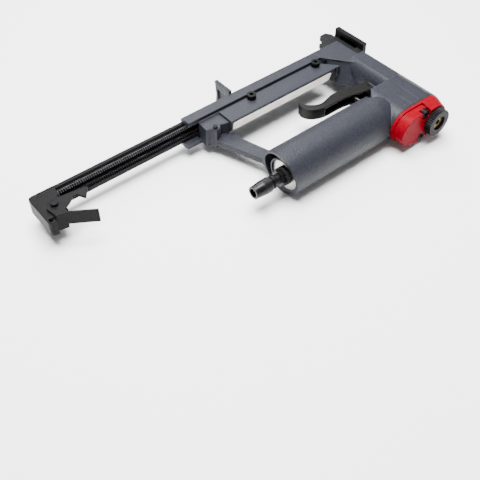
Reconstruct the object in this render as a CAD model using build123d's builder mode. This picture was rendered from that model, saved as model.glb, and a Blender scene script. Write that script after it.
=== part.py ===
from build123d import *
import os
from math import cos, hypot, pi, sin, sqrt

os.makedirs("parts", exist_ok=True)

# Sizes in mm. The origin is the nose tip on the drive line: +X forward, +Y out of the nose, +Z up.

# Fits
running_fit = 0.05
slide_gap = 0.15
loose_gap = 0.3

# Head and grip
head_r = 13.4
head_flat = 11.7
head_x = -1.8
seat_y = -128.5
manifold_back = -45.9
manifold_front = 10.3
manifold_half = 14.5
manifold_far = -92.5
grip_y = -110.3
grip_r = 19.6
grip_back = -147.4
grip_slant = 0.10
grip_shoulder = -48.0
grip_front = -34.0
edge_bevel = 0.5
pocket_depth = 40.0
pocket_r = 16.0
pocket_rise = 2.2
pocket_wall = 1.3

# Magazine housing and nose block
flange_half = 10.2
flange_bevel = 1.2
mag_far = -18.2
mag_depth = 10.6
mag_back = -173.6
mag_front = -29.0
channel_top = 6.4
channel_low = -7.2
lip_thick = 0.7
lip_height = 1.0
web_thick = 1.7
tongue_half = 4.0
tongue_depth = 6.6
slit_depth = 3.1
tail_reach = 5.4
tail_near = -34.3
tail_gap = 0.1
foot_x = -124.5
foot_thick = 2.6
foot_half = 13.0
foot_pocket = 1.2
block_front = 0.3
gusset_y = -56.5
gusset_x = -8.0
neck_top = 8.0
neck_reach = 12.0
neck_length = 49.0

# Lower bar, lug and arm
bar_top = 8.4
bar_low = -8.4
bar_width = 17.0
bar_face_low = -0.5
bar_foot_width = 9.4
bar_step_x = -144.0
bar_nose_far_x = -36.6
bar_nose_near_x = -21.9
lug_top = 6.3
lug_low = -11.0
lug_back = -164.8
catch_x = -157.3
catch_y = -42.6
catch_r = 2.0
arm_top = -4.0
arm_low = -9.5
label_thick = 0.4
label_back = -143.0
label_front = -33.0
label_height = 7.4
label_margin = 0.4

# Slide, latch and springs
slide_travel = 126.2
latch_reach = 16.5
latch_rise = 4.1
plate_thick = 1.6
rail_wall = 1.6
rail_flange = 1.3
rail_lip = 3.0
rail_rim = 0.9
rail_rim_height = 3.4
rail_stop = 3.0
rod_r = 0.8
rod_seat = 5.0
pivot_r = 2.5
pivot_head_r = 2.9
pivot_head_height = 2.2
rail_front_closed = -6.8
spring_y = -24.6
spring_z = 3.7
coil_r = 1.6
wire_r = 0.28
coil_turns = 46
pusher_length = 15.0

# Nose
blade_width = 10.4
blade_thick = 1.2
guide_half = 6.6
guide_strip_half = 7.2
guide_strip_far = -10.0
guide_root_half = 9.0
guide_root_reach = 3.3
guide_depth = 8.0
guide_lip = 2.0
guide_notch = 2.2
cover_half = 15.0
cover_thick = 4.4
cover_tip = -9.0
cover_root = -44.0
cover_skin = 1.4
cover_rim = 3.5
nose_screw_z = 7.1
nose_screw_inset = 3.5
nose_screw_depth = 13.0
nose_screw_r = 1.25
nose_head_r = 2.4
nose_head_height = 2.2

# Drive
stroke = 32.0
bore_wall = 1.6
sleeve_wall = 1.2
piston_length = 8.0
piston_inset = 7.0
ring_half = 0.8
ring_depth = 1.4
blade_seat = 2.5
bumper_length = 6.0
valve_lift = 2.5
valve_thick = 3.7
valve_hole_r = 3.0
valve_cavity = 4.0

# Cap and knob
gasket_thick = 0.8
cap_rim = 2.6
cap_height = 13.3
cap_inset = 0.9
cap_taper = 1.9
cap_recess = 5.0
cap_head_r = 3.4
cap_head_height = 4.6
cap_screw_x = -19.0
cap_screw_z = 10.9
knob_x = -7.5
knob_r = 11.8
knob_height = 6.2
bush_r = 3.8
bush_wall = 1.2
bush_flange_r = 6.2
bush_flange_thick = 0.8
bush_reach = 4.0
bush_seat = 5.0
knurl_depth = 0.8
knurl_count = 40

# Trigger and its valve
trigger_x = -19.8
trigger_y = -80.0
trigger_half = 5.0
trigger_wall = 1.5
trigger_pin_r = 1.9
valve_x = -37.0
valve_r = 4.4
stem_r = 2.0

# Inlet
inlet_y = -113.7
inlet_r = 13.6
inlet_recess = 1.8
inlet_thick = 5.0
plug_r = 6.0
plug_tip = -177.4
plug_bore_r = 3.6
hex_r = 7.0
hex_thick = 3.4
seal_half = 0.9
seal_depth = 1.5
ring_lip = 0.5
ring_inset = 0.8
ring_thick = 0.6
washer_r = 7.6
washer_thick = 4.0

# Screws
screw_back_inset = 62.0
screw_front_inset = 10.0
small_screw_r = 1.5
large_screw_r = 2.2
large_head_r = 3.9
large_head_height = 4.0
socket_ratio = 0.5
socket_depth = 0.6


# Shapes that repeat
def prism_z(points, low, high, mode=Mode.ADD):
    with BuildSketch(Plane.XY.offset(low)) as outline:
        Polygon(*points, align=None)
    extrude(outline.sketch, amount=high - low, dir=(0, 0, 1), mode=mode)


def prism_x(points, back, front, mode=Mode.ADD):
    with BuildSketch(Plane.YZ.offset(back)) as outline:
        Polygon(*points, align=None)
    extrude(outline.sketch, amount=front - back, dir=(1, 0, 0), mode=mode)


def block(x_range, y_range, z_range, mode=Mode.ADD):
    back, front = x_range
    near, far = y_range
    prism_z([(back, near), (front, near), (front, far), (back, far)], z_range[0], z_range[1], mode)


def prism_y(points, near, far, mode=Mode.ADD):
    with BuildSketch(Plane.XZ.offset(-far)) as outline:
        Polygon(*points, align=None)
    extrude(outline.sketch, amount=far - near, dir=(0, -1, 0), mode=mode)


def round_x(y, z, radius, back, front, mode=Mode.ADD):
    with BuildSketch(Plane.YZ.offset(back)) as outline:
        with Locations((y, z)):
            Circle(radius)
    extrude(outline.sketch, amount=front - back, dir=(1, 0, 0), mode=mode)


def round_y(x, z, radius, near, far, mode=Mode.ADD):
    with BuildSketch(Plane.XZ.offset(-far)) as outline:
        with Locations((x, z)):
            Circle(radius)
    extrude(outline.sketch, amount=far - near, dir=(0, -1, 0), mode=mode)


def round_z(x, y, radius, low, high, mode=Mode.ADD):
    with BuildSketch(Plane.XY.offset(low)) as outline:
        with Locations((x, y)):
            Circle(radius)
    extrude(outline.sketch, amount=high - low, dir=(0, 0, 1), mode=mode)


def stadium_y(back, front, half, near, far, mode=Mode.ADD):
    with BuildSketch(Plane.XZ.offset(-far)) as outline:
        with Locations(((back + front) / 2, 0)):
            SlotOverall(front - back, 2 * half)
    extrude(outline.sketch, amount=far - near, dir=(0, -1, 0), mode=mode)


def turned_x(profile, y):
    with BuildSketch(Plane.XY) as outline:
        Polygon(*[(x, y + r) for x, r in profile], align=None)
    revolve(outline.sketch, axis=Axis((0, y, 0), (1, 0, 0)))


def shifted(points, origin):
    return [(origin[0] + x, origin[1] + y) for x, y in points]


def bevel_outline(side):
    corner = (mag_far, side * flange_half)
    return [corner, (mag_far - flange_bevel, corner[1]), (mag_far, corner[1] - side * flange_bevel)]


def finish(solid, name):
    solid.label = name
    export_step(solid, f"parts/{name}.step")


# Places worked out from the sizes
mag_near = mag_far - mag_depth
channel_floor = mag_near + 0.4
web_near = channel_floor - web_thick
bar_far = web_near
bar_near = bar_far - bar_width
tongue_near = web_near - tongue_depth
web_back = lug_back + 1.3
slit_floor = flange_half - slit_depth
screw_y = mag_near - large_head_r - loose_gap
screw_xs = (mag_back + screw_back_inset, mag_front - screw_front_inset)
shift = -slide_travel
pivot_x = catch_x - latch_reach + shift
pivot_y = catch_y + latch_rise
pivot = (pivot_x, pivot_y)
cap_front = pivot_x + 9.0
rail_front = rail_front_closed + shift
rail_far = mag_far - lip_thick - slide_gap
rail_near = channel_floor + loose_gap
rail_top = channel_top - slide_gap
rail_low = channel_low + slide_gap
pusher_front = rail_front - 4.0
pusher_back = pusher_front - pusher_length
gusset_foot_y = mag_near - 0.3
gusset_run = Vector(gusset_x - mag_front, gusset_y - gusset_foot_y, 0).normalized()
neck_x = mag_front + (bar_far - gusset_foot_y) * gusset_run.X / gusset_run.Y
guide_front = block_front + guide_depth
guide_root = cover_root - guide_root_reach
cover_front = guide_front + cover_thick
nose_screw_y = cover_root + nose_screw_inset
nose_screw_back = block_front - nose_screw_depth
nose_head_back = cover_front - nose_head_height
bore_r = manifold_front - bore_wall
piston_r = bore_r - sleeve_wall - running_fit
piston_back = seat_y + piston_inset
piston_front = piston_back + piston_length
bore_far = piston_front + stroke + loose_gap + bumper_length
blade_tip = -stroke
blade_slot_x = blade_thick / 2 + slide_gap
blade_slot_z = blade_width / 2 + slide_gap
cap_base = seat_y - gasket_thick
cap_rim_y = cap_base - cap_rim
cap_outer = seat_y - cap_height
knob_outer = cap_outer - knob_height
valve_far = manifold_far + 3.0
valve_near = manifold_far - 21.0
valve_seat = manifold_far + 1.4
trigger_boss_half = trigger_half - trigger_wall - loose_gap
grip_edge = grip_r + 1.0
grip_outer = grip_back - grip_slant * grip_edge
inlet_face = grip_back + inlet_recess
plug_seat = inlet_face - washer_thick
plug_hex_back = plug_seat - hex_thick

channel_outline = [
    (mag_far + 1, channel_low),
    (mag_far + 1, channel_top),
    (channel_floor, channel_top),
    (channel_floor, channel_low),
]
rail_outline = [
    (rail_far, rail_top),
    (rail_far - rail_lip, rail_top),
    (rail_far - rail_lip, rail_top - rail_flange),
    (rail_far - rail_wall, rail_top - rail_flange),
    (rail_far - rail_wall, rail_low + rail_flange),
    (rail_near + rail_rim, rail_low + rail_flange),
    (rail_near + rail_rim, rail_low + rail_rim_height),
    (rail_near, rail_low + rail_rim_height),
    (rail_near, rail_low),
    (rail_far, rail_low),
]

# Body casting
with BuildPart() as body_casting:
    prism_z(
        [
            (bar_step_x, bar_far),
            (bar_nose_far_x, bar_far),
            (bar_nose_near_x, bar_near),
            (bar_step_x, bar_near),
        ],
        bar_low,
        bar_top,
    )
    prism_x(
        [
            (bar_far, bar_top - edge_bevel),
            (bar_far - edge_bevel, bar_top),
            (bar_near + edge_bevel, bar_top),
            (bar_near, bar_top - edge_bevel),
            (bar_near, bar_face_low),
            (bar_far - bar_foot_width, bar_low),
            (bar_far, bar_low),
        ],
        bar_step_x,
        bar_nose_near_x,
        Mode.INTERSECT,
    )
    # Lug at the rear of the bar, low enough for the latch plate to pass over
    prism_z(
        [
            (lug_back + 1.0, bar_far),
            (lug_back, bar_near + 6.5),
            (lug_back + 4.2, bar_near + 5.7),
            (lug_back + 6.1, bar_near + 0.8),
            (lug_back + 10.5, bar_near + 2.3),
            (lug_back + 13.2, bar_near + 5.2),
            (bar_step_x, bar_near + 3.1),
            (bar_step_x, bar_far),
        ],
        lug_low,
        lug_top,
    )
    # Arm from the lug to the rear of the grip
    prism_z(
        [
            (lug_back + 6.5, bar_near + 1.2),
            (lug_back + 14.0, bar_far - 10.0),
            (bar_step_x + 1.0, bar_near - 0.6),
            (bar_step_x + 3.5, bar_near - 11.6),
            (grip_back + 18.0, grip_y + grip_r - 5.0),
            (grip_back + 2.6, grip_y + grip_r - 5.0),
            (grip_back + 3.0, grip_y + grip_r + 5.4),
        ],
        arm_low,
        arm_top,
    )
    # Nose block with the gusset up to the head
    prism_z(
        [
            (mag_front, mag_far),
            (block_front, mag_far),
            (block_front, gusset_y - 9.5),
            (gusset_x, gusset_y - 9.5),
            (gusset_x, gusset_y),
            (mag_front, gusset_foot_y),
        ],
        -flange_half,
        flange_half,
    )
    for side in (-1, 1):
        prism_x(bevel_outline(side), mag_front, block_front, Mode.SUBTRACT)
    # Web that slopes down beside the gusset and runs along its edge into the head
    with BuildSketch(Plane.XZ.offset(-bar_far)) as slope:
        Polygon(
            (neck_x - neck_reach, bar_low),
            (neck_x + 2.5, bar_low),
            (neck_x + 2.5, neck_top),
            (neck_x, neck_top),
            align=None,
        )
    extrude(slope.sketch, amount=neck_length, dir=gusset_run)
    # Round head from the nose block on, flat on two sides, and the manifold behind it
    round_y(head_x, 0, head_r, seat_y, guide_root)
    for flat_range in ((-grip_r, -head_flat), (head_flat, grip_r)):
        block((head_x - grip_r, head_x + grip_r), (seat_y, guide_root), flat_range, Mode.SUBTRACT)
    stadium_y(manifold_back, manifold_front, manifold_half, seat_y, manifold_far)
    prism_z(
        [
            (manifold_back - 1, manifold_far - 16.0),
            (manifold_back + 14.0, manifold_far + 1),
            (manifold_back - 1, manifold_far + 1),
        ],
        -grip_r,
        grip_r,
        Mode.SUBTRACT,
    )
    # Grip with a slanted rear end, kept clear of the seat of the cap
    turned_x(
        [
            (grip_outer, 0),
            (grip_outer, grip_r),
            (grip_shoulder, grip_r),
            (grip_front, manifold_half + 0.5),
            (grip_front, 0),
        ],
        grip_y,
    )
    prism_y(
        [
            (grip_outer - 1, -grip_edge),
            (grip_back + grip_slant * grip_edge, -grip_edge),
            (grip_outer, grip_edge),
            (grip_outer - 1, grip_edge),
        ],
        grip_y - grip_edge,
        grip_y + grip_edge,
        Mode.SUBTRACT,
    )
    block(
        (manifold_back - loose_gap, manifold_front + 1),
        (grip_y - 2 * grip_r, seat_y),
        (-grip_r, grip_r),
        Mode.SUBTRACT,
    )
    # Bosses for the trigger pin and the trigger valve
    prism_z(
        [
            (trigger_x, trigger_y - 4.2),
            (gusset_x, trigger_y - 9.0),
            (gusset_x, trigger_y + 6.0),
            (trigger_x, trigger_y + 4.2),
        ],
        -trigger_boss_half,
        trigger_boss_half,
    )
    round_z(trigger_x, trigger_y, 4.2, -trigger_boss_half, trigger_boss_half)
    round_y(valve_x, 0, valve_r + 2.6, manifold_far - 14.0, valve_seat)
    # Bores, channels and holes
    round_y(0, 0, bore_r, seat_y, bore_far, Mode.SUBTRACT)
    block(
        (-blade_slot_x, blade_slot_x),
        (bore_far - 1, mag_far),
        (-blade_slot_z, blade_slot_z),
        Mode.SUBTRACT,
    )
    round_x(inlet_y, 0, inlet_r, grip_outer, inlet_face + inlet_thick, Mode.SUBTRACT)
    round_x(inlet_y, 0, inlet_r + ring_lip, inlet_face - ring_thick, inlet_face, Mode.SUBTRACT)
    round_x(inlet_y, 0, inlet_r - 1.6, inlet_face, grip_shoulder, Mode.SUBTRACT)
    round_x(inlet_y, 0, valve_r + 1.0, grip_shoulder - 1, -bore_r + 1.0, Mode.SUBTRACT)
    round_y(valve_x, 0, valve_r, valve_near, valve_seat, Mode.SUBTRACT)
    with BuildSketch(Plane.YZ.offset(grip_outer)):
        with Locations((grip_y + pocket_rise, 0)):
            Circle(pocket_r)
        with Locations((inlet_y, 0)):
            Circle(inlet_r + pocket_wall, mode=Mode.SUBTRACT)
    extrude(amount=pocket_depth, mode=Mode.SUBTRACT)
    prism_x(channel_outline, mag_front - 1, block_front + 1, Mode.SUBTRACT)
    block(
        (bar_step_x - 6.0, bar_nose_far_x),
        (tongue_near, bar_far + 1),
        (-tongue_half, tongue_half),
        Mode.SUBTRACT,
    )
    round_z(trigger_x, trigger_y, trigger_pin_r, -grip_r, grip_r, Mode.SUBTRACT)
    round_z(catch_x, catch_y, catch_r, lug_low + 4.0, lug_top, Mode.SUBTRACT)
    for screw_x in screw_xs:
        round_z(screw_x, screw_y, large_screw_r, bar_low, bar_top, Mode.SUBTRACT)
    for side in (-1, 1):
        round_y(cap_screw_x, side * cap_screw_z, small_screw_r, seat_y, seat_y + 12.0, Mode.SUBTRACT)
        round_x(nose_screw_y, side * nose_screw_z, nose_screw_r, nose_screw_back, block_front, Mode.SUBTRACT)
finish(body_casting.part, "body_casting")

# Magazine housing with its foot
with BuildPart() as magazine_housing:
    prism_x(
        [
            (mag_far, flange_half - flange_bevel),
            (mag_far - flange_bevel, flange_half),
            (mag_near, flange_half),
            (mag_near, slit_floor),
            (web_near, slit_floor),
            (web_near, tongue_half),
            (tongue_near, tongue_half),
            (tongue_near, -tongue_half),
            (web_near, -tongue_half),
            (web_near, -slit_floor),
            (mag_near, -slit_floor),
            (mag_near, -flange_half),
            (mag_far - flange_bevel, -flange_half),
            (mag_far, -flange_half + flange_bevel),
        ],
        mag_back,
        mag_front,
    )
    block((web_back - 20, web_back), (tongue_near - 1, mag_near), (-slit_floor, slit_floor), Mode.SUBTRACT)
    block(
        (bar_nose_far_x - 1.0, mag_front),
        (tongue_near - 1, web_near),
        (-tongue_half, tongue_half),
        Mode.SUBTRACT,
    )
    block(
        (mag_back, bar_step_x - 6.0),
        (tongue_near - 1, web_near),
        (-tongue_half, tongue_half),
        Mode.SUBTRACT,
    )
    prism_z(
        [
            (mag_back - tail_reach, tail_near),
            (mag_back - tail_reach, mag_far),
            (web_back, mag_far),
            (web_back, mag_near),
            (lug_back - tail_gap, mag_near),
            (lug_back - tail_gap, tail_near),
        ],
        -flange_half,
        channel_low,
    )
    # Foot that stands level with the nose tip
    prism_x(
        [
            (mag_far - flange_bevel, foot_half),
            (0, foot_half),
            (-1.6, 1.2),
            (-1.6, -1.2),
            (0, -foot_half),
            (mag_far - flange_bevel, -foot_half),
        ],
        foot_x,
        foot_x + foot_thick,
    )
    prism_x(
        [
            (mag_far + 3.0, -foot_half / 2),
            (mag_far + 3.0, foot_half / 2),
            (-3.5, foot_half / 2),
            (-5.0, -foot_half / 2),
        ],
        foot_x,
        foot_x + foot_pocket,
        Mode.SUBTRACT,
    )
    prism_x(channel_outline, mag_back, mag_front, Mode.SUBTRACT)
    block((mag_back, web_back), (tongue_near, mag_far), (channel_low, channel_top), Mode.SUBTRACT)
    lip_range = (mag_far - lip_thick, mag_far)
    block((web_back, mag_front), lip_range, (channel_top - lip_height, channel_top))
    block((web_back, mag_front), lip_range, (channel_low, channel_low + lip_height))
    for screw_x in screw_xs:
        round_z(screw_x, screw_y, large_screw_r, -tongue_half, tongue_half, Mode.SUBTRACT)
finish(magazine_housing.part, "magazine_housing")

# Two socket screws through the bar and the housing's tongue
with BuildPart() as magazine_screws:
    for screw_x in screw_xs:
        head_top = bar_top + large_head_height
        round_z(screw_x, screw_y, large_screw_r, bar_low, bar_top)
        round_z(screw_x, screw_y, large_head_r, bar_top, head_top)
        with BuildSketch(Plane.XY.offset(head_top)):
            with Locations((screw_x, screw_y)):
                RegularPolygon(large_head_r * socket_ratio, 6)
        extrude(amount=-large_head_height * socket_depth, mode=Mode.SUBTRACT)
finish(magazine_screws.part, "magazine_screws")

# Pin on the lug that the latch hooks over
with BuildPart() as catch_pin:
    round_z(catch_x, catch_y, catch_r, lug_low + 4.0, lug_top + plate_thick + 0.6)
finish(catch_pin.part, "catch_pin")

# Bare label strip with slanted ends
with BuildPart() as label_plate:
    with BuildSketch(Plane.XZ.offset(-bar_near)):
        label_low = bar_face_low + label_margin
        Polygon(
            (label_back, label_low),
            (label_front - 3.0, label_low),
            (label_front, label_low + label_height),
            (label_back + 1.0, label_low + label_height),
            align=None,
        )
    extrude(amount=label_thick)
finish(label_plate.part, "label_plate")

# Driver guide: the blade runs in the groove in its rear face
with BuildPart() as driver_guide:
    prism_z(
        [
            (block_front, guide_root),
            (guide_front, guide_root),
            (guide_front, -5.0),
            (guide_front - 3.0, 0),
            (block_front, 0),
        ],
        -guide_half,
        guide_half,
    )
    strip_range = (-guide_strip_half, guide_strip_half)
    block((block_front, guide_front), (guide_root, guide_strip_far), strip_range)
    root_far = nose_screw_y + nose_screw_inset
    block((block_front, guide_front), (guide_root, root_far), (-guide_root_half, guide_root_half))
    block((block_front - guide_lip, block_front), (mag_far, 0), (-guide_half, guide_half))
    block((-blade_slot_x, blade_slot_x), (guide_root, 0), (-blade_slot_z, blade_slot_z), Mode.SUBTRACT)
    block((block_front - guide_lip, guide_front), (-guide_notch, 0), (-1.5, 1.5), Mode.SUBTRACT)
    for side in (-1, 1):
        screw_z = side * nose_screw_z
        round_x(nose_screw_y, screw_z, nose_screw_r, block_front, guide_front, Mode.SUBTRACT)
finish(driver_guide.part, "driver_guide")

# Nose cover with a pocket in its rear face
with BuildPart() as nose_cover:
    block((guide_front, cover_front), (cover_root, cover_tip), (-cover_half, cover_half))
    block(
        (guide_front, cover_front - cover_skin),
        (cover_root + 2 * cover_rim, cover_tip - 2 * cover_rim),
        (-cover_half + cover_rim, cover_half - cover_rim),
        Mode.SUBTRACT,
    )
    for side in (-1, 1):
        screw_z = side * nose_screw_z
        round_x(nose_screw_y, screw_z, nose_screw_r, guide_front, cover_front, Mode.SUBTRACT)
        round_x(nose_screw_y, screw_z, nose_head_r, nose_head_back, cover_front, Mode.SUBTRACT)
finish(nose_cover.part, "nose_cover")

with BuildPart() as nose_screws:
    for side in (-1, 1):
        screw_z = side * nose_screw_z
        round_x(nose_screw_y, screw_z, nose_screw_r, nose_screw_back, nose_head_back)
        round_x(nose_screw_y, screw_z, nose_head_r, nose_head_back, cover_front)
        with BuildSketch(Plane.YZ.offset(cover_front)):
            with Locations((nose_screw_y, screw_z)):
                RegularPolygon(nose_head_r * socket_ratio, 6)
        extrude(amount=-nose_head_height * socket_depth, mode=Mode.SUBTRACT)
finish(nose_screws.part, "nose_screws")

# Cylinder sleeve, bumper, piston with its ring, blade, and head valve
with BuildPart() as cylinder_sleeve:
    sleeve_back = piston_back - 2.0
    round_y(0, 0, bore_r, sleeve_back, bore_far)
    round_y(0, 0, bore_r - sleeve_wall, sleeve_back, bore_far, Mode.SUBTRACT)
finish(cylinder_sleeve.part, "cylinder_sleeve")

with BuildPart() as bumper:
    round_y(0, 0, bore_r - sleeve_wall, bore_far - bumper_length, bore_far)
    round_y(0, 0, blade_width / 2 + 0.8, bore_far - bumper_length, bore_far, Mode.SUBTRACT)
finish(bumper.part, "bumper")

with BuildPart() as piston:
    round_y(0, 0, piston_r, piston_back, piston_front)
    ring_y = piston_back + piston_length / 2
    round_y(0, 0, piston_r, ring_y - ring_half, ring_y + ring_half, Mode.SUBTRACT)
    round_y(0, 0, piston_r - ring_depth, ring_y - ring_half, ring_y + ring_half)
    block(
        (-blade_thick / 2, blade_thick / 2),
        (piston_front - blade_seat, piston_front),
        (-blade_width / 2, blade_width / 2),
        Mode.SUBTRACT,
    )
finish(piston.part, "piston")

with BuildPart() as piston_ring:
    round_y(0, 0, piston_r, ring_y - ring_half, ring_y + ring_half)
    round_y(0, 0, piston_r - ring_depth, ring_y - ring_half, ring_y + ring_half, Mode.SUBTRACT)
finish(piston_ring.part, "piston_ring")

with BuildPart() as driver_blade:
    block(
        (-blade_thick / 2, blade_thick / 2),
        (piston_front - blade_seat, blade_tip),
        (-blade_width / 2, blade_width / 2),
    )
finish(driver_blade.part, "driver_blade")

with BuildPart() as head_valve:
    head_valve_far = sleeve_back - loose_gap
    head_valve_near = head_valve_far - valve_thick
    round_y(0, 0, bore_r - running_fit, head_valve_near, head_valve_far)
    round_y(0, 0, valve_hole_r, head_valve_near, head_valve_far, Mode.SUBTRACT)
finish(head_valve.part, "head_valve")

# Gasket and red cap
with BuildPart() as cap_gasket:
    stadium_y(manifold_back, manifold_front, manifold_half - loose_gap, cap_base, seat_y)
    round_y(0, 0, bore_r, cap_base, seat_y, Mode.SUBTRACT)
    for side in (-1, 1):
        round_y(cap_screw_x, side * cap_screw_z, small_screw_r, cap_base, seat_y, Mode.SUBTRACT)
finish(cap_gasket.part, "cap_gasket")


def front_outline(back, centre, radius):
    with BuildLine() as outline:
        Polyline((centre, radius), (back, radius), (back, -radius), (centre, -radius))
        ThreePointArc((centre, -radius), (centre + radius, 0), (centre, radius))
    make_face(outline.edges())


with BuildPart() as cap:
    recess_back = cap_screw_x - 4.6
    recess_front = cap_screw_x + 5.2
    recess_floor = cap_rim_y - cap_recess
    arc_x = manifold_front - manifold_half
    boss_half = manifold_half - cap_inset
    stadium_y(manifold_back, manifold_front, manifold_half, cap_rim_y, cap_base)
    stadium_y(manifold_back + cap_inset, cap_screw_x + boss_half, boss_half, cap_outer, cap_rim_y)
    with BuildSketch(Plane.XZ.offset(-cap_rim_y)):
        front_outline(recess_front, arc_x, manifold_half)
    with BuildSketch(Plane.XZ.offset(-cap_outer)):
        front_outline(recess_front, arc_x - cap_taper, manifold_half - cap_taper)
    loft()
    for side in (-1, 1):
        wall_z = side * (cap_screw_z - large_head_r + 0.2)
        block(
            (recess_back, recess_front),
            (cap_outer, recess_floor),
            (min(wall_z, side * grip_r), max(wall_z, side * grip_r)),
            Mode.SUBTRACT,
        )
        round_y(cap_screw_x, side * cap_screw_z, small_screw_r, recess_floor, cap_base, Mode.SUBTRACT)
    round_y(0, 0, bore_r, cap_base - valve_cavity, cap_base, Mode.SUBTRACT)
    round_y(knob_x, 0, bush_r, cap_outer, cap_base - valve_cavity, Mode.SUBTRACT)
finish(cap.part, "cap")

with BuildPart() as cap_screws:
    cap_head_outer = recess_floor - cap_head_height
    for side in (-1, 1):
        round_y(cap_screw_x, side * cap_screw_z, small_screw_r, recess_floor, seat_y + 11.0)
        round_y(cap_screw_x, side * cap_screw_z, cap_head_r, cap_head_outer, recess_floor)
        with BuildSketch(Plane.XZ.offset(-cap_head_outer)):
            with Locations((cap_screw_x, side * cap_screw_z)):
                RegularPolygon(cap_head_r * socket_ratio, 6)
        extrude(amount=-cap_head_height * socket_depth, mode=Mode.SUBTRACT)
finish(cap_screws.part, "cap_screws")

# Brass bush that the knob turns on
with BuildPart() as knob_bush:
    bush_outer = cap_outer - bush_reach
    bush_shoulder = bush_outer + bush_flange_thick
    round_y(knob_x, 0, bush_r, bush_outer, cap_outer + bush_seat)
    round_y(knob_x, 0, bush_flange_r, bush_outer, bush_shoulder)
    round_y(knob_x, 0, bush_r - bush_wall, bush_outer, cap_outer + bush_seat, Mode.SUBTRACT)
finish(knob_bush.part, "knob_bush")

# Knurled knob
with BuildPart() as exhaust_knob:
    knob_inner = cap_outer - loose_gap
    teeth = []
    for step in range(2 * knurl_count):
        radius = knob_r - knurl_depth * (step % 2)
        angle = pi * step / knurl_count
        teeth.append((radius * cos(angle), radius * sin(angle)))
    with BuildSketch(Plane.XZ.offset(-knob_inner)):
        with Locations((knob_x, 0)):
            Polygon(*teeth, align=None)
    extrude(amount=knob_inner - knob_outer)
    round_y(knob_x, 0, bush_r + running_fit, knob_outer, knob_inner, Mode.SUBTRACT)
    knob_recess = bush_shoulder + slide_gap
    round_y(knob_x, 0, bush_flange_r + slide_gap, knob_outer, knob_recess, Mode.SUBTRACT)
finish(exhaust_knob.part, "exhaust_knob")

# Trigger: a channel open toward the grip, with a solid finger tip
with BuildPart() as trigger_pin:
    round_z(trigger_x, trigger_y, trigger_pin_r, loose_gap - trigger_half, trigger_half - loose_gap)
finish(trigger_pin.part, "trigger_pin")

upper_edge = [(-63.5, 19.6), (-56.8, 11.6), (-49.7, 8.3), (-35.7, 10.9), (-14.2, 8.7), (3.0, 6.5)]
lower_edge = [
    (-65.0, 14.9),
    (-62.0, 7.3),
    (-54.7, 3.0),
    (-41.3, 1.5),
    (-27.8, 1.0),
    (-9.5, -3.3),
    (1.3, -4.6),
]
with BuildPart() as trigger:
    with BuildSketch(Plane.XY.offset(-trigger_half)):
        with BuildLine():
            upper = Spline(*shifted(upper_edge, (trigger_x, trigger_y)))
            lower = Spline(*shifted(lower_edge, (trigger_x, trigger_y)))
            Line(upper @ 0, lower @ 0)
            Line(upper @ 1, lower @ 1)
        make_face()
    extrude(amount=2 * trigger_half)
    web_edge = shifted([(x, y - trigger_wall) for x, y in upper_edge[2:]], (trigger_x, trigger_y))
    inside_half = trigger_half - trigger_wall
    with BuildSketch(Plane.XY.offset(-inside_half)):
        with BuildLine():
            web = Spline(*web_edge)
            Polyline(web @ 0, (web_edge[0][0], seat_y), (web_edge[-1][0] + 6.0, seat_y), web @ 1)
        make_face()
    extrude(amount=2 * inside_half, mode=Mode.SUBTRACT)
    round_z(trigger_x, trigger_y, trigger_pin_r + running_fit, -grip_r, grip_r, Mode.SUBTRACT)
finish(trigger.part, "trigger")

# Trigger valve
with BuildPart() as valve_bushing:
    round_y(valve_x, 0, valve_r, valve_near, valve_far)
    round_y(valve_x, 0, valve_r + 1.4, valve_seat, valve_far)
    round_y(valve_x, 0, stem_r + running_fit, valve_near, valve_far, Mode.SUBTRACT)
finish(valve_bushing.part, "valve_bushing")

with BuildPart() as valve_stem:
    stem_tip = trigger_y + 6.6
    round_y(valve_x, 0, stem_r, valve_near + valve_lift, stem_tip - stem_r)
    with Locations((valve_x, stem_tip - stem_r, 0)):
        Sphere(stem_r)
finish(valve_stem.part, "valve_stem")

# Inlet disc, its seal, retaining ring, washer and air plug
seal_x = inlet_face + inlet_thick / 2
with BuildPart() as inlet_disc:
    round_x(inlet_y, 0, inlet_r, inlet_face, inlet_face + inlet_thick)
    round_x(inlet_y, 0, plug_r, inlet_face, inlet_face + inlet_thick, Mode.SUBTRACT)
    round_x(inlet_y, 0, inlet_r, seal_x - seal_half, seal_x + seal_half, Mode.SUBTRACT)
    round_x(inlet_y, 0, inlet_r - seal_depth, seal_x - seal_half, seal_x + seal_half)
    round_x(inlet_y, 0, plug_r, seal_x - seal_half, seal_x + seal_half, Mode.SUBTRACT)
finish(inlet_disc.part, "inlet_disc")

with BuildPart() as inlet_seal:
    round_x(inlet_y, 0, inlet_r, seal_x - seal_half, seal_x + seal_half)
    round_x(inlet_y, 0, inlet_r - seal_depth, seal_x - seal_half, seal_x + seal_half, Mode.SUBTRACT)
finish(inlet_seal.part, "inlet_seal")

with BuildPart() as inlet_ring:
    round_x(inlet_y, 0, inlet_r + ring_lip, inlet_face - ring_thick, inlet_face)
    round_x(inlet_y, 0, inlet_r - ring_inset, inlet_face - ring_thick, inlet_face, Mode.SUBTRACT)
finish(inlet_ring.part, "inlet_ring")

with BuildPart() as plug_washer:
    round_x(inlet_y, 0, washer_r, plug_seat, inlet_face)
    round_x(inlet_y, 0, plug_r, plug_seat, inlet_face, Mode.SUBTRACT)
finish(plug_washer.part, "plug_washer")

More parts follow.
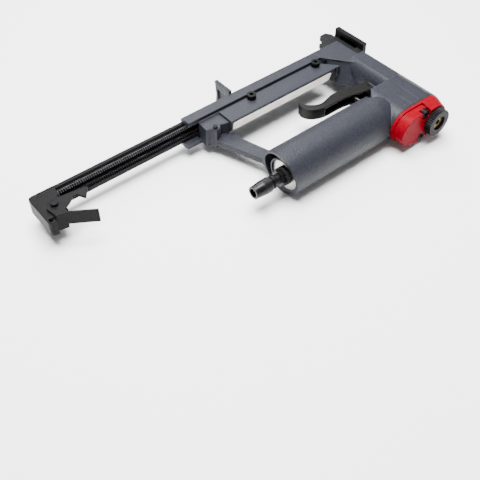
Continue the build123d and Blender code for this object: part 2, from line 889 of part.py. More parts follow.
with BuildPart() as air_plug:
    land_back = plug_tip + 9.0
    turned_x(
        [
            (plug_tip, 0),
            (plug_tip, plug_r - 0.9),
            (land_back, plug_r),
            (land_back + 5.7, plug_r),
            (land_back + 5.7, plug_r - 1.8),
            (land_back + 8.6, plug_r - 1.8),
            (land_back + 8.6, plug_r - 0.6),
            (land_back + 11.6, plug_r - 0.6),
            (land_back + 11.6, plug_r - 1.7),
            (plug_hex_back, plug_r - 1.7),
            (plug_hex_back, plug_r),
            (inlet_face + inlet_thick, plug_r),
            (inlet_face + inlet_thick, 0),
        ],
        inlet_y,
    )
    with BuildSketch(Plane.YZ.offset(plug_hex_back)):
        with Locations((inlet_y, 0)):
            RegularPolygon(hex_r, 6)
    extrude(amount=plug_seat - plug_hex_back)
    round_x(inlet_y, 0, plug_bore_r, plug_tip, inlet_face + inlet_thick, Mode.SUBTRACT)
finish(air_plug.part, "air_plug")

# Slide rail with a stop plate at its front
rail_back = cap_front - 13.0
with BuildPart() as slide_rail:
    prism_x(rail_outline, rail_back, rail_front)
    block((rail_front - rail_stop, rail_front), (rail_near, rail_far), (rail_low, rail_top))
    for side in (-1, 1):
        round_x(spring_y, side * spring_z, rod_r, rail_front - rail_stop, rail_front, Mode.SUBTRACT)
finish(slide_rail.part, "slide_rail")

with BuildPart() as spring_rods:
    for side in (-1, 1):
        round_x(spring_y, side * spring_z, rod_r, cap_front - rod_seat, rail_front)
finish(spring_rods.part, "spring_rods")

# End cap of the slide, with the lip that the thumb pulls on
cap_top = lug_top - 0.2
cap_low = channel_low + loose_gap
with BuildPart() as end_cap:
    cap_outline = [
        (9.0, 20.0),
        (-11.9, 20.0),
        (-11.9, -13.5),
        (-6.2, -13.5),
        (-6.2, -10.8),
        (-7.6, -10.8),
        (-7.6, -12.0),
        (-10.4, -12.0),
        (-10.4, -8.5),
        (6.0, -8.5),
        (6.0, 9.5),
        (9.0, 9.5),
    ]
    prism_z(shifted(cap_outline, pivot), cap_low, cap_top)
    fillet(end_cap.edges().filter_by(Axis.Z).sort_by(Axis.X)[:2], radius=3.6)
    floor_outline = [(-10.6, -12.2), (-10.6, -8.3), (-6.4, -8.3), (-6.4, -12.2)]
    prism_z(shifted(floor_outline, pivot), cap_low, cap_low + 2.0)
    prism_x(rail_outline, rail_back, cap_front, Mode.SUBTRACT)
    for side in (-1, 1):
        round_x(spring_y, side * spring_z, rod_r, cap_front - rod_seat, cap_front, Mode.SUBTRACT)
    round_z(pivot_x, pivot_y, pivot_r, cap_low, cap_top, Mode.SUBTRACT)
    round_z(pivot_x - 6.0, pivot_y + 15.9, 0.6, cap_top - 2.5, cap_top, Mode.SUBTRACT)
finish(end_cap.part, "end_cap")

plate_low = lug_top + loose_gap
plate_top = plate_low + plate_thick
with BuildPart() as latch_pivot_pin:
    pin_head_low = plate_top + running_fit
    round_z(pivot_x, pivot_y, pivot_r, cap_low, pin_head_low)
    round_z(pivot_x, pivot_y, pivot_head_r, pin_head_low, pin_head_low + pivot_head_height)
finish(latch_pivot_pin.part, "latch_pivot_pin")

# Latch lever: a plate with the hook, and a bent-down wall that runs out into the thumb tab
with BuildPart() as latch_lever:
    hook_outline = [
        (-2.0, 5.0),
        (9.0, 4.6),
        (28.5, 1.5),
        (21.2, -8.0),
        (17.6, -0.8),
        (14.0, -0.9),
        (11.4, -3.7),
        (4.7, -7.7),
        (3.0, -11.0),
        (-5.0, -9.0),
        (-6.8, -0.5),
    ]
    prism_z(shifted(hook_outline, pivot), plate_low, plate_top)
    wall_outline = [(-5.0, -9.0), (3.0, -11.0), (2.3, -12.5), (-5.4, -10.6)]
    prism_z(shifted(wall_outline, pivot), cap_low, plate_top)
    tab_outline = [(3.0, -11.0), (22.3, -23.5), (21.4, -24.8), (2.3, -12.5)]
    prism_z(shifted(tab_outline, pivot), arm_top + 0.5, plate_top)
    round_z(pivot_x, pivot_y, pivot_r + running_fit, plate_low, plate_top, Mode.SUBTRACT)
finish(latch_lever.part, "latch_lever")

# Pusher that rides inside the rail
with BuildPart() as pusher:
    inner_far = rail_far - rail_wall - loose_gap
    outer_near = rail_near + rail_rim + slide_gap
    lip_near = rail_far - rail_lip - loose_gap
    prism_x(
        [
            (lip_near, rail_top),
            (outer_near, rail_top),
            (outer_near, rail_low + rail_flange + slide_gap),
            (inner_far, rail_low + rail_flange + slide_gap),
            (inner_far, rail_top - rail_flange - loose_gap),
            (lip_near, rail_top - rail_flange - loose_gap),
        ],
        pusher_back,
        pusher_front,
    )
    for side in (-1, 1):
        round_x(spring_y, side * spring_z, rod_r + running_fit, pusher_back, pusher_front, Mode.SUBTRACT)
finish(pusher.part, "pusher")


# Pusher springs: a helix of biarcs with a straight wire at each end
def biarc(start, start_way, end, end_way):
    span = end - start
    both = start_way + end_way
    turn = 2 * (1 - start_way.dot(end_way))
    along = span.dot(both)
    reach = (sqrt(along * along + turn * span.dot(span)) - along) / turn
    middle = (start + end + (start_way - end_way) * reach) * 0.5
    TangentArc(start, middle, tangent=start_way)
    TangentArc(middle, end, tangent=end_way * -1, tangent_from_first=False)


def coil_stations(back, front, y, z):
    lead = 2 * wire_r
    ease = 1.2
    pitch = (front - back - 2 * (lead + ease)) / (coil_turns - 0.5)
    rise = pitch / (2 * pi)
    size = hypot(coil_r, rise)
    stations = [(Vector(back + lead, y + coil_r, z), Vector(1, 0, 0))]
    for half in range(2 * coil_turns):
        angle = pi / 2 + pi * half
        place = Vector(
            back + lead + ease + pitch * half / 2, y + coil_r * cos(angle), z + coil_r * sin(angle)
        )
        way = Vector(rise, -coil_r * sin(angle), coil_r * cos(angle)) * (1 / size)
        stations.append((place, way))
    last = pi / 2 + pi * (2 * coil_turns - 1) + pi / 2
    stations.append((Vector(front - lead, y + coil_r * cos(last), z + coil_r * sin(last)), Vector(1, 0, 0)))
    return stations


def least_gap(wire, name):
    count = 24 * coil_turns
    points = [wire @ (step / count) for step in range(count + 1)]
    near = 14
    far = 60
    least = min(
        (points[a] - points[b]).length
        for a in range(count + 1)
        for b in range(a + near, min(a + far, count + 1))
    )
    print(f"{name}: least gap of the wire to itself {least - 2 * wire_r:.2f} mm")


def coil_path(z):
    stations = coil_stations(cap_front, pusher_back, spring_y, z)
    first = stations[0][0]
    last = stations[-1][0]
    Line(Vector(cap_front, first.Y, first.Z), first)
    for (start, start_way), (end, end_way) in zip(stations, stations[1:]):
        biarc(start, start_way, end, end_way)
    Line(last, Vector(pusher_back, last.Y, last.Z))


with BuildPart() as pusher_spring_upper:
    with BuildLine() as upper_path:
        coil_path(spring_z)
    with BuildSketch(Plane(origin=upper_path.wires()[0] @ 0, z_dir=(1, 0, 0))):
        Circle(wire_r)
    sweep(path=upper_path.wires()[0])
least_gap(upper_path.wires()[0], "pusher_spring_upper")
finish(pusher_spring_upper.part, "pusher_spring_upper")

with BuildPart() as pusher_spring_lower:
    with BuildLine() as lower_path:
        coil_path(-spring_z)
    with BuildSketch(Plane(origin=lower_path.wires()[0] @ 0, z_dir=(1, 0, 0))):
        Circle(wire_r)
    sweep(path=lower_path.wires()[0])
least_gap(lower_path.wires()[0], "pusher_spring_lower")
finish(pusher_spring_lower.part, "pusher_spring_lower")
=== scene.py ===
import math

import bpy
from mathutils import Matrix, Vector


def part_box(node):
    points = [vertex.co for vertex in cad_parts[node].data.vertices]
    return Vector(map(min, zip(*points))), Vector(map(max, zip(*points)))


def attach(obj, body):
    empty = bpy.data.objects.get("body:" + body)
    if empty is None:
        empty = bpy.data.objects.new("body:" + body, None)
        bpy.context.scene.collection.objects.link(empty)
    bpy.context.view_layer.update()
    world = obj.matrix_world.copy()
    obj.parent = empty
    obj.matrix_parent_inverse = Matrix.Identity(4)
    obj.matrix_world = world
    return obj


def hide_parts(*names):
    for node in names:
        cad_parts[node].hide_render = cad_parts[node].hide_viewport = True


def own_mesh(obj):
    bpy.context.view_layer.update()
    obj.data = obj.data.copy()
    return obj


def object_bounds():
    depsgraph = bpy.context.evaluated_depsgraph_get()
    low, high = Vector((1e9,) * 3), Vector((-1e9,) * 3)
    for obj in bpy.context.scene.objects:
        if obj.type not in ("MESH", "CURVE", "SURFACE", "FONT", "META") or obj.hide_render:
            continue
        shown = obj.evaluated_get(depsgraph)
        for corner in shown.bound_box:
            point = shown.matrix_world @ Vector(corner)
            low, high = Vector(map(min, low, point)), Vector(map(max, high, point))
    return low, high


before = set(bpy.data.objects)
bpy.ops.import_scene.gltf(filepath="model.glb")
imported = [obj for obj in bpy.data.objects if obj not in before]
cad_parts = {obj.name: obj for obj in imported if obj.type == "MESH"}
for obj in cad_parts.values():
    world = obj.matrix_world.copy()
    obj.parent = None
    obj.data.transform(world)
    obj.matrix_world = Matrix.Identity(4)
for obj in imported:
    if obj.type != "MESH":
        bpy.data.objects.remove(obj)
cadLow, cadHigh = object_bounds()
print("frame loaded, nodes:", len(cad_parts))


# Edges are rounded in the shading only, and painted lighter where the rounding turns far
# enough: wear and a painted edge highlight
softEdge = {
    "samples": 6,
    "rubbedAndHighlightFrom": 0.96,  # cosine between the flat and the rounded normal
    "rubbedAndHighlightFully": 0.70,
}
mixSockets = {"base": 6, "over": 7, "result": 2}  # colour sockets of a Mix node


# Small helpers for the shader trees
def newFinish(name, values):
    finish = bpy.data.materials.new(name)
    finish.use_nodes = True
    shader = finish.node_tree.nodes["Principled BSDF"]
    for socket, value in values.items():
        shader.inputs[socket].default_value = value
    return finish, finish.node_tree, shader


def pattern(tree, kind, centre=(0, 0, 0), **values):
    place = tree.nodes.new("ShaderNodeTexCoord")
    mapping = tree.nodes.new("ShaderNodeMapping")
    mapping.vector_type = "TEXTURE"
    mapping.inputs["Location"].default_value = centre
    texture = tree.nodes.new(kind)
    tree.links.new(place.outputs["Object"], mapping.inputs["Vector"])
    tree.links.new(mapping.outputs["Vector"], texture.inputs["Vector"])
    for socket, value in values.items():
        texture.inputs[socket].default_value = value
    return texture


def noise(tree, perMetre, detail, distortion=0.0):
    texture = pattern(
        tree,
        "ShaderNodeTexNoise",
        Scale=perMetre,
        Detail=detail,
        Distortion=distortion,
    )
    return texture.outputs["Fac"]


def ramp(tree, source, stops, first, second):
    node = tree.nodes.new("ShaderNodeValToRGB")
    for element, stop, colour in zip(node.color_ramp.elements, stops, (first, second)):
        element.position = stop
        element.color = (*colour, 1)
    tree.links.new(source, node.inputs["Fac"])
    return node.outputs["Color"]


def spread(tree, source, low, high):
    node = tree.nodes.new("ShaderNodeMapRange")
    node.inputs["To Min"].default_value = low
    node.inputs["To Max"].default_value = high
    tree.links.new(source, node.inputs["Value"])
    return node.outputs["Result"]


def bump(tree, source, strength, depth, normal=None):
    node = tree.nodes.new("ShaderNodeBump")
    node.inputs["Strength"].default_value = strength
    node.inputs["Distance"].default_value = depth
    tree.links.new(source, node.inputs["Height"])
    if normal is not None:
        tree.links.new(normal, node.inputs["Normal"])
    return node.outputs["Normal"]


def softEdges(tree, radius):
    node = tree.nodes.new("ShaderNodeBevel")
    node.samples = softEdge["samples"]
    node.inputs["Radius"].default_value = radius
    return node.outputs["Normal"]


def edgeMask(tree, rounded):
    # 1 where the rounded normal leaves the flat one, so along the edges
    flat = tree.nodes.new("ShaderNodeNewGeometry")
    dot = tree.nodes.new("ShaderNodeVectorMath")
    dot.operation = "DOT_PRODUCT"
    tree.links.new(flat.outputs["Normal"], dot.inputs[0])
    tree.links.new(rounded, dot.inputs[1])
    node = tree.nodes.new("ShaderNodeMapRange")
    node.inputs["From Min"].default_value = softEdge["rubbedAndHighlightFrom"]
    node.inputs["From Max"].default_value = softEdge["rubbedAndHighlightFully"]
    tree.links.new(dot.outputs["Value"], node.inputs["Value"])
    return node.outputs["Result"]


def mixColour(tree, factor, base, over):
    node = tree.nodes.new("ShaderNodeMix")
    node.data_type = "RGBA"
    tree.links.new(factor, node.inputs["Factor"])
    tree.links.new(base, node.inputs[mixSockets["base"]])
    node.inputs[mixSockets["over"]].default_value = (*over, 1)
    return node.outputs[mixSockets["result"]]


def feed(tree, shader, colour, roughness, normal):
    tree.links.new(colour, shader.inputs["Base Color"])
    tree.links.new(roughness, shader.inputs["Roughness"])
    tree.links.new(normal, shader.inputs["Normal"])


# Grey hammertone paint of the casting and the magazine housing
hammerPaint = {
    "dark": (0.01225, 0.0133, 0.0182),
    "light": (0.01855, 0.01988, 0.02695),
    # lighter edge colour: worn paint together with a painted edge highlight
    "wearAndHighlight": (0.050, 0.052, 0.064),
    # colour of the painted glints: lighter specks that stand for light caught on the dimples
    "paintedGlintColour": (0.0301, 0.03185, 0.0399),
    "metallic": 0.1,
    "specular": 0.19,
    "dimplesPerMetre": 900,
    "dimpleStops": (0.1, 0.7),
    "dimpleRelief": 0.55,
    "dimpleDepth": 0.0004,
    "specksPerMetre": 1300,
    "speckDetail": 2.0,
    "speckDistortion": 1.4,
    "speckStops": (0.56, 0.68),
    "cloudsPerMetre": 60,
    "cloudDetail": 4.0,
    "roughness": (0.38, 0.50),
    "edgeRadius": 0.0013,
}


def makeHammerPaint(look):
    values = {"Metallic": look["metallic"], "Specular IOR Level": look["specular"]}
    finish, tree, shader = newFinish("hammertone paint", values)
    dimples = pattern(tree, "ShaderNodeTexVoronoi", Scale=look["dimplesPerMetre"])
    dimples.feature = "SMOOTH_F1"
    hollows = dimples.outputs["Distance"]
    clouds = noise(tree, look["cloudsPerMetre"], look["cloudDetail"])
    rounded = softEdges(tree, look["edgeRadius"])
    colour = ramp(tree, hollows, look["dimpleStops"], look["light"], look["dark"])
    # Painted highlight: lighter specks mixed into the colour as glints of light on the dimples
    specks = noise(tree, look["specksPerMetre"], look["speckDetail"], look["speckDistortion"])
    paintedGlintMask = ramp(tree, specks, look["speckStops"], (0, 0, 0), (1, 1, 1))
    colour = mixColour(tree, paintedGlintMask, colour, look["paintedGlintColour"])
    # Edges painted lighter: worn paint together with a painted edge highlight
    wearAndHighlight = edgeMask(tree, rounded)
    colour = mixColour(tree, wearAndHighlight, colour, look["wearAndHighlight"])
    roughness = spread(tree, clouds, *look["roughness"])
    normal = bump(tree, hollows, look["dimpleRelief"], look["dimpleDepth"], rounded)
    feed(tree, shader, colour, roughness, normal)
    return finish


# Red paint of the cap
redPaint = {
    "deep": (0.135, 0.0004, 0.0048),
    "bright": (0.185, 0.0006, 0.0075),
    "specular": 0.025,
    "peelPerMetre": 420,
    "peelDetail": 3.0,
    "peelStops": (0.3, 0.7),
    "peelRelief": 0.25,
    "peelDepth": 0.0001,
    "roughness": (0.24, 0.34),
    "edgeRadius": 0.0008,
}


def makeRedPaint(look):
    finish, tree, shader = newFinish("red cap paint", {"Specular IOR Level": look["specular"]})
    peel = noise(tree, look["peelPerMetre"], look["peelDetail"])
    rounded = softEdges(tree, look["edgeRadius"])
    colour = ramp(tree, peel, look["peelStops"], look["deep"], look["bright"])
    roughness = spread(tree, peel, *look["roughness"])
    normal = bump(tree, peel, look["peelRelief"], look["peelDepth"], rounded)
    feed(tree, shader, colour, roughness, normal)
    return finish


# Metals, rubber and black paints share one recipe: fine grain, and edges painted lighter as
# wear and a painted edge highlight
grain = {
    "detail": 5.0,
    "stops": (0.35, 0.65),
    "depth": 0.00008,
}


def makeGrained(name, look):
    values = {"Metallic": look["metallic"], "Specular IOR Level": look["specular"]}
    finish, tree, shader = newFinish(name, values)
    fine = noise(tree, look["grainPerMetre"], grain["detail"])
    rounded = softEdges(tree, look["edgeRadius"])
    colour = ramp(tree, fine, grain["stops"], look["dark"], look["light"])
    # Edges painted lighter: rubbed wear together with a painted edge highlight
    rubbedAndHighlight = edgeMask(tree, rounded)
    colour = mixColour(tree, rubbedAndHighlight, colour, look["rubbedAndHighlight"])
    roughness = spread(tree, fine, *look["roughness"])
    normal = bump(tree, fine, look["relief"], grain["depth"], rounded)
    feed(tree, shader, colour, roughness, normal)
    return finish


# the rubbed colours below stand for edge wear together with a painted edge highlight
blackSatin = {
    "dark": (0.0048, 0.0048, 0.0052),
    "light": (0.0083, 0.0083, 0.0087),
    "rubbedAndHighlight": (0.016, 0.016, 0.017),
    "metallic": 0.0,
    "specular": 0.06,
    "grainPerMetre": 900,
    "roughness": (0.36, 0.5),
    "relief": 0.3,
    "edgeRadius": 0.0011,
}
blackOxide = {
    "dark": (0.004, 0.004, 0.0046),
    "light": (0.009, 0.009, 0.010),
    "rubbedAndHighlight": (0.03, 0.03, 0.033),
    "metallic": 0.3,
    "specular": 0.06,
    "grainPerMetre": 1500,
    "roughness": (0.28, 0.42),
    "relief": 0.2,
    "edgeRadius": 0.0004,
}
triggerBlack = {
    "dark": (0.0042, 0.0040, 0.0039),
    "light": (0.0070, 0.0067, 0.0065),
    "rubbedAndHighlight": (0.014, 0.0135, 0.013),
    "metallic": 0.0,
    "specular": 0.12,
    "grainPerMetre": 700,
    "roughness": (0.28, 0.4),
    "relief": 0.18,
    "edgeRadius": 0.0013,
}
bareSteel = {
    "dark": (0.04, 0.04, 0.043),
    "light": (0.07, 0.07, 0.074),
    "rubbedAndHighlight": (0.12, 0.12, 0.125),
    "metallic": 1.0,
    "specular": 0.06,
    "grainPerMetre": 1200,
    "roughness": (0.26, 0.42),
    "relief": 0.2,
    "edgeRadius": 0.0003,
}
noseSteel = {
    "dark": (0.008, 0.0082, 0.009),
    "light": (0.016, 0.0164, 0.018),
    "rubbedAndHighlight": (0.045, 0.045, 0.048),
    "metallic": 0.25,
    "specular": 0.06,
    "grainPerMetre": 900,
    "roughness": (0.32, 0.48),
    "relief": 0.25,
    "edgeRadius": 0.0005,
}
springSteel = {
    "dark": (0.08, 0.08, 0.083),
    "light": (0.15, 0.15, 0.155),
    "rubbedAndHighlight": (0.18, 0.18, 0.185),
    "metallic": 1.0,
    "specular": 0.06,
    "grainPerMetre": 1800,
    "roughness": (0.25, 0.38),
    "relief": 0.1,
    "edgeRadius": 0.0001,
}
machinedAluminium = {
    "dark": (0.25, 0.25, 0.255),
    "light": (0.36, 0.36, 0.365),
    "rubbedAndHighlight": (0.45, 0.45, 0.455),
    "metallic": 1.0,
    "specular": 0.06,
    "grainPerMetre": 600,
    "roughness": (0.3, 0.45),
    "relief": 0.2,
    "edgeRadius": 0.0004,
}
turnedBrass = {
    "dark": (0.20, 0.13, 0.05),
    "light": (0.30, 0.20, 0.09),
    "rubbedAndHighlight": (0.42, 0.31, 0.16),
    "metallic": 1.0,
    "specular": 0.06,
    "grainPerMetre": 1300,
    "roughness": (0.22, 0.36),
    "relief": 0.15,
    "edgeRadius": 0.0003,
}
blackRubber = {
    "dark": (0.004, 0.004, 0.004),
    "light": (0.008, 0.008, 0.008),
    "rubbedAndHighlight": (0.012, 0.012, 0.012),
    "metallic": 0.0,
    "specular": 0.3,
    "grainPerMetre": 1400,
    "roughness": (0.62, 0.8),
    "relief": 0.4,
    "edgeRadius": 0.0004,
}
knurledBlack = {
    "dark": (0.005, 0.005, 0.0055),
    "light": (0.010, 0.010, 0.0105),
    "rubbedAndHighlight": (0.022, 0.021, 0.021),
    "metallic": 0.0,
    "specular": 0.06,
    "grainPerMetre": 1100,
    "roughness": (0.34, 0.48),
    "relief": 0.2,
    "edgeRadius": 0.0002,
}


# Disc and plug at the air inlet: lathe rings around the disc's axis
lathe = {
    "specular": 0.3,
    "ringDistortion": 1.2,
    "ringRelief": 0.12,
    "ringDepth": 0.00006,
    "blotchDetail": 4.0,
    "blotchStops": (0.3, 0.7),
}


def makeTurned(name, look, centre):
    values = {"Metallic": look["metallic"], "Specular IOR Level": lathe["specular"]}
    finish, tree, shader = newFinish(name, values)
    wave = pattern(
        tree,
        "ShaderNodeTexWave",
        centre=centre,
        Scale=look["ringsPerMetre"],
        Distortion=lathe["ringDistortion"],
    )
    wave.wave_type = "RINGS"
    wave.rings_direction = "X"
    rings = wave.outputs["Fac"]
    blotch = noise(tree, look["blotchPerMetre"], lathe["blotchDetail"])
    rounded = softEdges(tree, look["edgeRadius"])
    colour = ramp(tree, blotch, lathe["blotchStops"], look["dark"], look["light"])
    roughness = spread(tree, rings, *look["roughness"])
    normal = bump(tree, rings, lathe["ringRelief"], lathe["ringDepth"], rounded)
    feed(tree, shader, colour, roughness, normal)
    return finish


brightDisc = {
    "dark": (0.42, 0.42, 0.40),
    "light": (0.54, 0.54, 0.52),
    "metallic": 1.0,
    "ringsPerMetre": 260,
    "blotchPerMetre": 220,
    "roughness": (0.22, 0.34),
    "edgeRadius": 0.0004,
}
darkPlug = {
    "dark": (0.006, 0.006, 0.0068),
    "light": (0.014, 0.014, 0.0155),
    "metallic": 0.6,
    "ringsPerMetre": 340,
    "blotchPerMetre": 300,
    "roughness": (0.2, 0.32),
    "edgeRadius": 0.0004,
}

# Label film on the lower bar
labelFilm = {
    "clean": (0.90, 0.87, 0.80),
    "soiled": (0.78, 0.75, 0.68),
    "coat": 0.25,
    "coatRoughness": 0.2,
    "smudgePerMetre": 110,
    "smudgeDetail": 6.0,
    "smudgeStops": (0.42, 0.62),
    "smudgeRelief": 0.08,
    "smudgeDepth": 0.00005,
    "roughness": (0.32, 0.46),
}


def makeLabelFilm(look):
    values = {"Coat Weight": look["coat"], "Coat Roughness": look["coatRoughness"]}
    finish, tree, shader = newFinish("label film", values)
    smudge = noise(tree, look["smudgePerMetre"], look["smudgeDetail"])
    colour = ramp(tree, smudge, look["smudgeStops"], look["clean"], look["soiled"])
    roughness = spread(tree, smudge, *look["roughness"])
    normal = bump(tree, smudge, look["smudgeRelief"], look["smudgeDepth"])
    feed(tree, shader, colour, roughness, normal)
    return finish


def centreOf(node):
    low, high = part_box(node)
    return (low + high) / 2


finishes = {
    "hammertone": makeHammerPaint(hammerPaint),
    "red": makeRedPaint(redPaint),
    "satin": makeGrained("black satin", blackSatin),
    "oxide": makeGrained("black oxide", blackOxide),
    "trigger": makeGrained("trigger black", triggerBlack),
    "steel": makeGrained("bare steel", bareSteel),
    "nose": makeGrained("nose steel", noseSteel),
    "spring": makeGrained("spring steel", springSteel),
    "aluminium": makeGrained("machined aluminium", machinedAluminium),
    "brass": makeGrained("turned brass", turnedBrass),
    "rubber": makeGrained("black rubber", blackRubber),
    "knob": makeGrained("knurled black", knurledBlack),
    "disc": makeTurned("bright disc", brightDisc, centreOf("inlet_disc")),
    "plug": makeTurned("dark plug", darkPlug, centreOf("inlet_disc")),
    "label": makeLabelFilm(labelFilm),
}

finishNodes = {
    "hammertone": ["body_casting", "magazine_housing"],
    "red": ["cap"],
    "satin": [
        "slide_rail",
        "end_cap",
        "latch_lever",
        "nose_cover",
        "pusher",
        "latch_pivot_pin",
    ],
    "oxide": [
        "magazine_screws",
        "cap_screws",
        "nose_screws",
        "catch_pin",
        "trigger_pin",
        "valve_bushing",
        "spring_rods",
    ],
    "trigger": ["trigger"],
    "steel": ["valve_stem", "driver_blade", "inlet_ring"],
    "nose": ["driver_guide"],
    "spring": ["pusher_spring_upper", "pusher_spring_lower"],
    "aluminium": ["cylinder_sleeve", "piston", "head_valve"],
    "brass": ["knob_bush"],
    "rubber": ["bumper", "piston_ring", "inlet_seal", "plug_washer", "cap_gasket"],
    "knob": ["exhaust_knob"],
    "disc": ["inlet_disc"],
    "plug": ["air_plug"],
    "label": ["label_plate"],
}
for finishName, nodes in finishNodes.items():
    for node in nodes:
        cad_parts[node].material_slots[0].material = finishes[finishName]
print("finishes on the nodes:", sum(len(nodes) for nodes in finishNodes.values()))


def activePiece(name):
    piece = bpy.context.active_object
    piece.name = name
    return piece


def applyPlace():
    bpy.ops.object.transform_apply(location=True, rotation=True, scale=True)


# Pusher springs, closer wound than the solids they stand for
pusherSpring = {
    "turns": 74,
    "wireRadius": 0.00028,
    "coilRadius": 0.0016,
    "wireSides": 8,
    "stepsPerTurn": 16,
    "mergeWithin": 1e-7,
}


def makePusherSpring(node, look):
    low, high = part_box(node)
    centre = centreOf(node)
    length = high.x - low.x
    bpy.ops.object.select_all(action="DESELECT")
    bpy.ops.mesh.primitive_circle_add(
        vertices=look["wireSides"],
        radius=look["wireRadius"],
        location=(0, 0, look["coilRadius"]),
        rotation=(math.pi / 2, 0, 0),
    )
    spring = activePiece(node + "_wound")
    applyPlace()
    screw = spring.modifiers.new("winding", "SCREW")
    screw.axis = "X"
    screw.angle = 2 * math.pi
    screw.screw_offset = (length - 2 * look["wireRadius"]) / look["turns"]
    screw.iterations = look["turns"]
    screw.steps = look["stepsPerTurn"]
    screw.render_steps = look["stepsPerTurn"]
    screw.use_smooth_shade = True
    bpy.ops.object.modifier_apply(modifier=screw.name)
    bpy.ops.object.mode_set(mode="EDIT")
    bpy.ops.mesh.select_all(action="SELECT")
    bpy.ops.mesh.remove_doubles(threshold=look["mergeWithin"])
    bpy.ops.mesh.fill_holes(sides=look["wireSides"])
    bpy.ops.mesh.normals_make_consistent(inside=False)
    bpy.ops.object.mode_set(mode="OBJECT")
    spring.location = (low.x + look["wireRadius"], centre.y, centre.z)
    applyPlace()
    spring.data.materials.append(finishes["spring"])
    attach(spring, "magazine_slide")
    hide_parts(node)
    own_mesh(spring)


for node in ("pusher_spring_upper", "pusher_spring_lower"):
    makePusherSpring(node, pusherSpring)
print("pusher springs wound")


# Fine cast lines along the top of the manifold, up to the seat of the cap
manifoldRibs = {
    "across": (-0.0120, -0.0212, -0.0225),
    "width": (0.0016, 0.0007, 0.0007),
    "length": (0.0290, 0.0220, 0.0220),
    "height": (0.00035, 0.00025, 0.00025),
    "sunk": 0.0004,
    "capGap": 0.0012,
    "rounding": 0.00022,
    "roundingSteps": 3,
}


def makeManifoldRibs(look):
    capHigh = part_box("cap")[1]
    lines = zip(look["across"], look["width"], look["length"], look["height"])
    for number, (across, width, length, height) in enumerate(lines, 1):
        tall = height + look["sunk"]
        middle = capHigh.y + look["capGap"] + length / 2
        bpy.ops.object.select_all(action="DESELECT")
        bpy.ops.mesh.primitive_cube_add(
            size=1,
            location=(across, middle, capHigh.z + height - tall / 2),
            scale=(width, length, tall),
        )
        rib = activePiece("manifold_rib_%d" % number)
        applyPlace()
        bevel = rib.modifiers.new("rounding", "BEVEL")
        bevel.width = look["rounding"]
        bevel.segments = look["roundingSteps"]
        bpy.ops.object.modifier_apply(modifier=bevel.name)
        bpy.ops.object.shade_smooth()
        rib.data.materials.append(finishes["hammertone"])
        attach(rib, "tool_body")


makeManifoldRibs(manifoldRibs)
print("manifold ribs set")


# Label strip: narrower than its solid, with slanted ends and round corners
labelStrip = {
    "topGap": 0.0011,
    "frontSlant": 0.0026,
    "backSlant": 0.0010,
    "corner": 0.0011,
    "cornerSteps": 4,
}


def makeLabelStrip(look):
    low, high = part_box("label_plate")
    middle = centreOf("label_plate")
    thick = high.y - low.y
    top = high.z - look["topGap"]
    bpy.ops.object.select_all(action="DESELECT")
    bpy.ops.mesh.primitive_cube_add(
        size=1,
        location=((low.x + high.x) / 2, (low.y + high.y) / 2, (low.z + top) / 2),
        scale=(high.x - low.x, thick, top - low.z),
    )
    strip = activePiece("label_strip")
    applyPlace()
    for point in strip.data.vertices:
        if point.co.x > middle.x and point.co.z < middle.z:
            point.co.x -= look["frontSlant"]
        if point.co.x < middle.x and point.co.z > middle.z:
            point.co.x += look["backSlant"]
    bpy.ops.object.mode_set(mode="EDIT")
    bpy.ops.mesh.select_mode(type="EDGE")
    bpy.ops.mesh.select_all(action="DESELECT")
    bpy.ops.object.mode_set(mode="OBJECT")
    for edge in strip.data.edges:  # the four edges through the strip's thickness
        first, second = (strip.data.vertices[index].co for index in edge.vertices)
        edge.select = abs(first.y - second.y) > thick / 2
    bpy.ops.object.mode_set(mode="EDIT")
    bpy.ops.mesh.bevel(offset=look["corner"], segments=look["cornerSteps"])
    bpy.ops.object.mode_set(mode="OBJECT")
    strip.data.materials.append(finishes["label"])
    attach(strip, "tool_body")
    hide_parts("label_plate")


makeLabelStrip(labelStrip)
print("label strip laid")


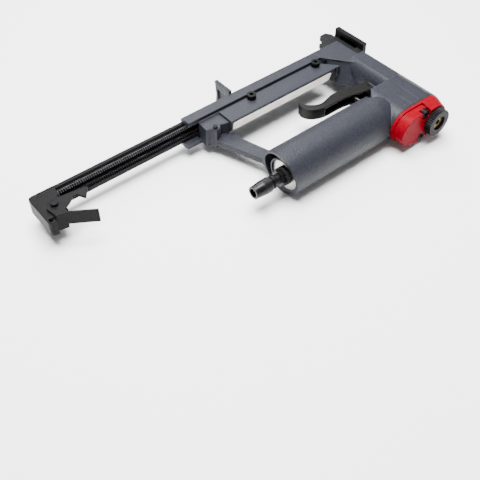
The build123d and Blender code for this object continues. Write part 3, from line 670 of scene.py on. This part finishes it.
# Pale floor, soft studio light and the camera at the photograph's angle
paleFloor = {
    "size": 6.0,
    "colour": (0.92, 0.92, 0.92, 1),
    "roughness": 0.6,
    "specular": 0.2,
}


def makeFloor(look):
    bpy.ops.object.select_all(action="DESELECT")
    bpy.ops.mesh.primitive_plane_add(size=look["size"], location=(0, 0, cadLow.z))
    floor = activePiece("floor")
    values = {
        "Base Color": look["colour"],
        "Roughness": look["roughness"],
        "Specular IOR Level": look["specular"],
    }
    floor.data.materials.append(newFinish("pale floor", values)[0])


studioSky = {
    "colour": (1.0, 1.0, 1.0, 1),
    "strength": 0.3,
}


def makeSky(look):
    sky = bpy.data.worlds.new("studio sky")
    sky.use_nodes = True
    background = sky.node_tree.nodes["Background"]
    background.inputs["Color"].default_value = look["colour"]
    background.inputs["Strength"].default_value = look["strength"]
    bpy.context.scene.world = sky


keyLight = {
    "place": (-0.15, 0.02, 1.25),
    "size": 1.0,
    "power": 87,
}
sheenLight = {
    "place": (0.30, 0.75, 0.85),
    "size": 0.7,
    "power": 12,
}
fillLight = {
    "place": (-0.9, -0.6, 0.7),
    "size": 0.8,
    "power": 0.3,
}


def makeSoftLight(name, look):
    aim = (cadLow + cadHigh) / 2 - Vector(look["place"])
    bpy.ops.object.light_add(type="AREA", location=look["place"])
    light = activePiece(name)
    light.rotation_euler = aim.to_track_quat("-Z", "Y").to_euler()
    light.data.shape = "DISK"
    light.data.size = look["size"]
    light.data.energy = look["power"]


photoCamera = {
    "place": (-0.42543, -0.40082, 0.37338),
    "target": (-0.2144, -0.1434, 0.0),
    "lens": 53.7,
    "sensor": 36.0,
}


def makeCamera(look):
    bpy.ops.object.camera_add(location=look["place"])
    camera = activePiece("photo camera")
    aim = Vector(look["target"]) - Vector(look["place"])
    camera.rotation_euler = aim.to_track_quat("-Z", "Y").to_euler()
    camera.data.lens = look["lens"]
    camera.data.sensor_width = look["sensor"]
    bpy.context.scene.camera = camera


makeFloor(paleFloor)
makeSky(studioSky)
makeSoftLight("key light", keyLight)
makeSoftLight("sheen light", sheenLight)
makeSoftLight("fill light", fillLight)
makeCamera(photoCamera)
print("studio set up")
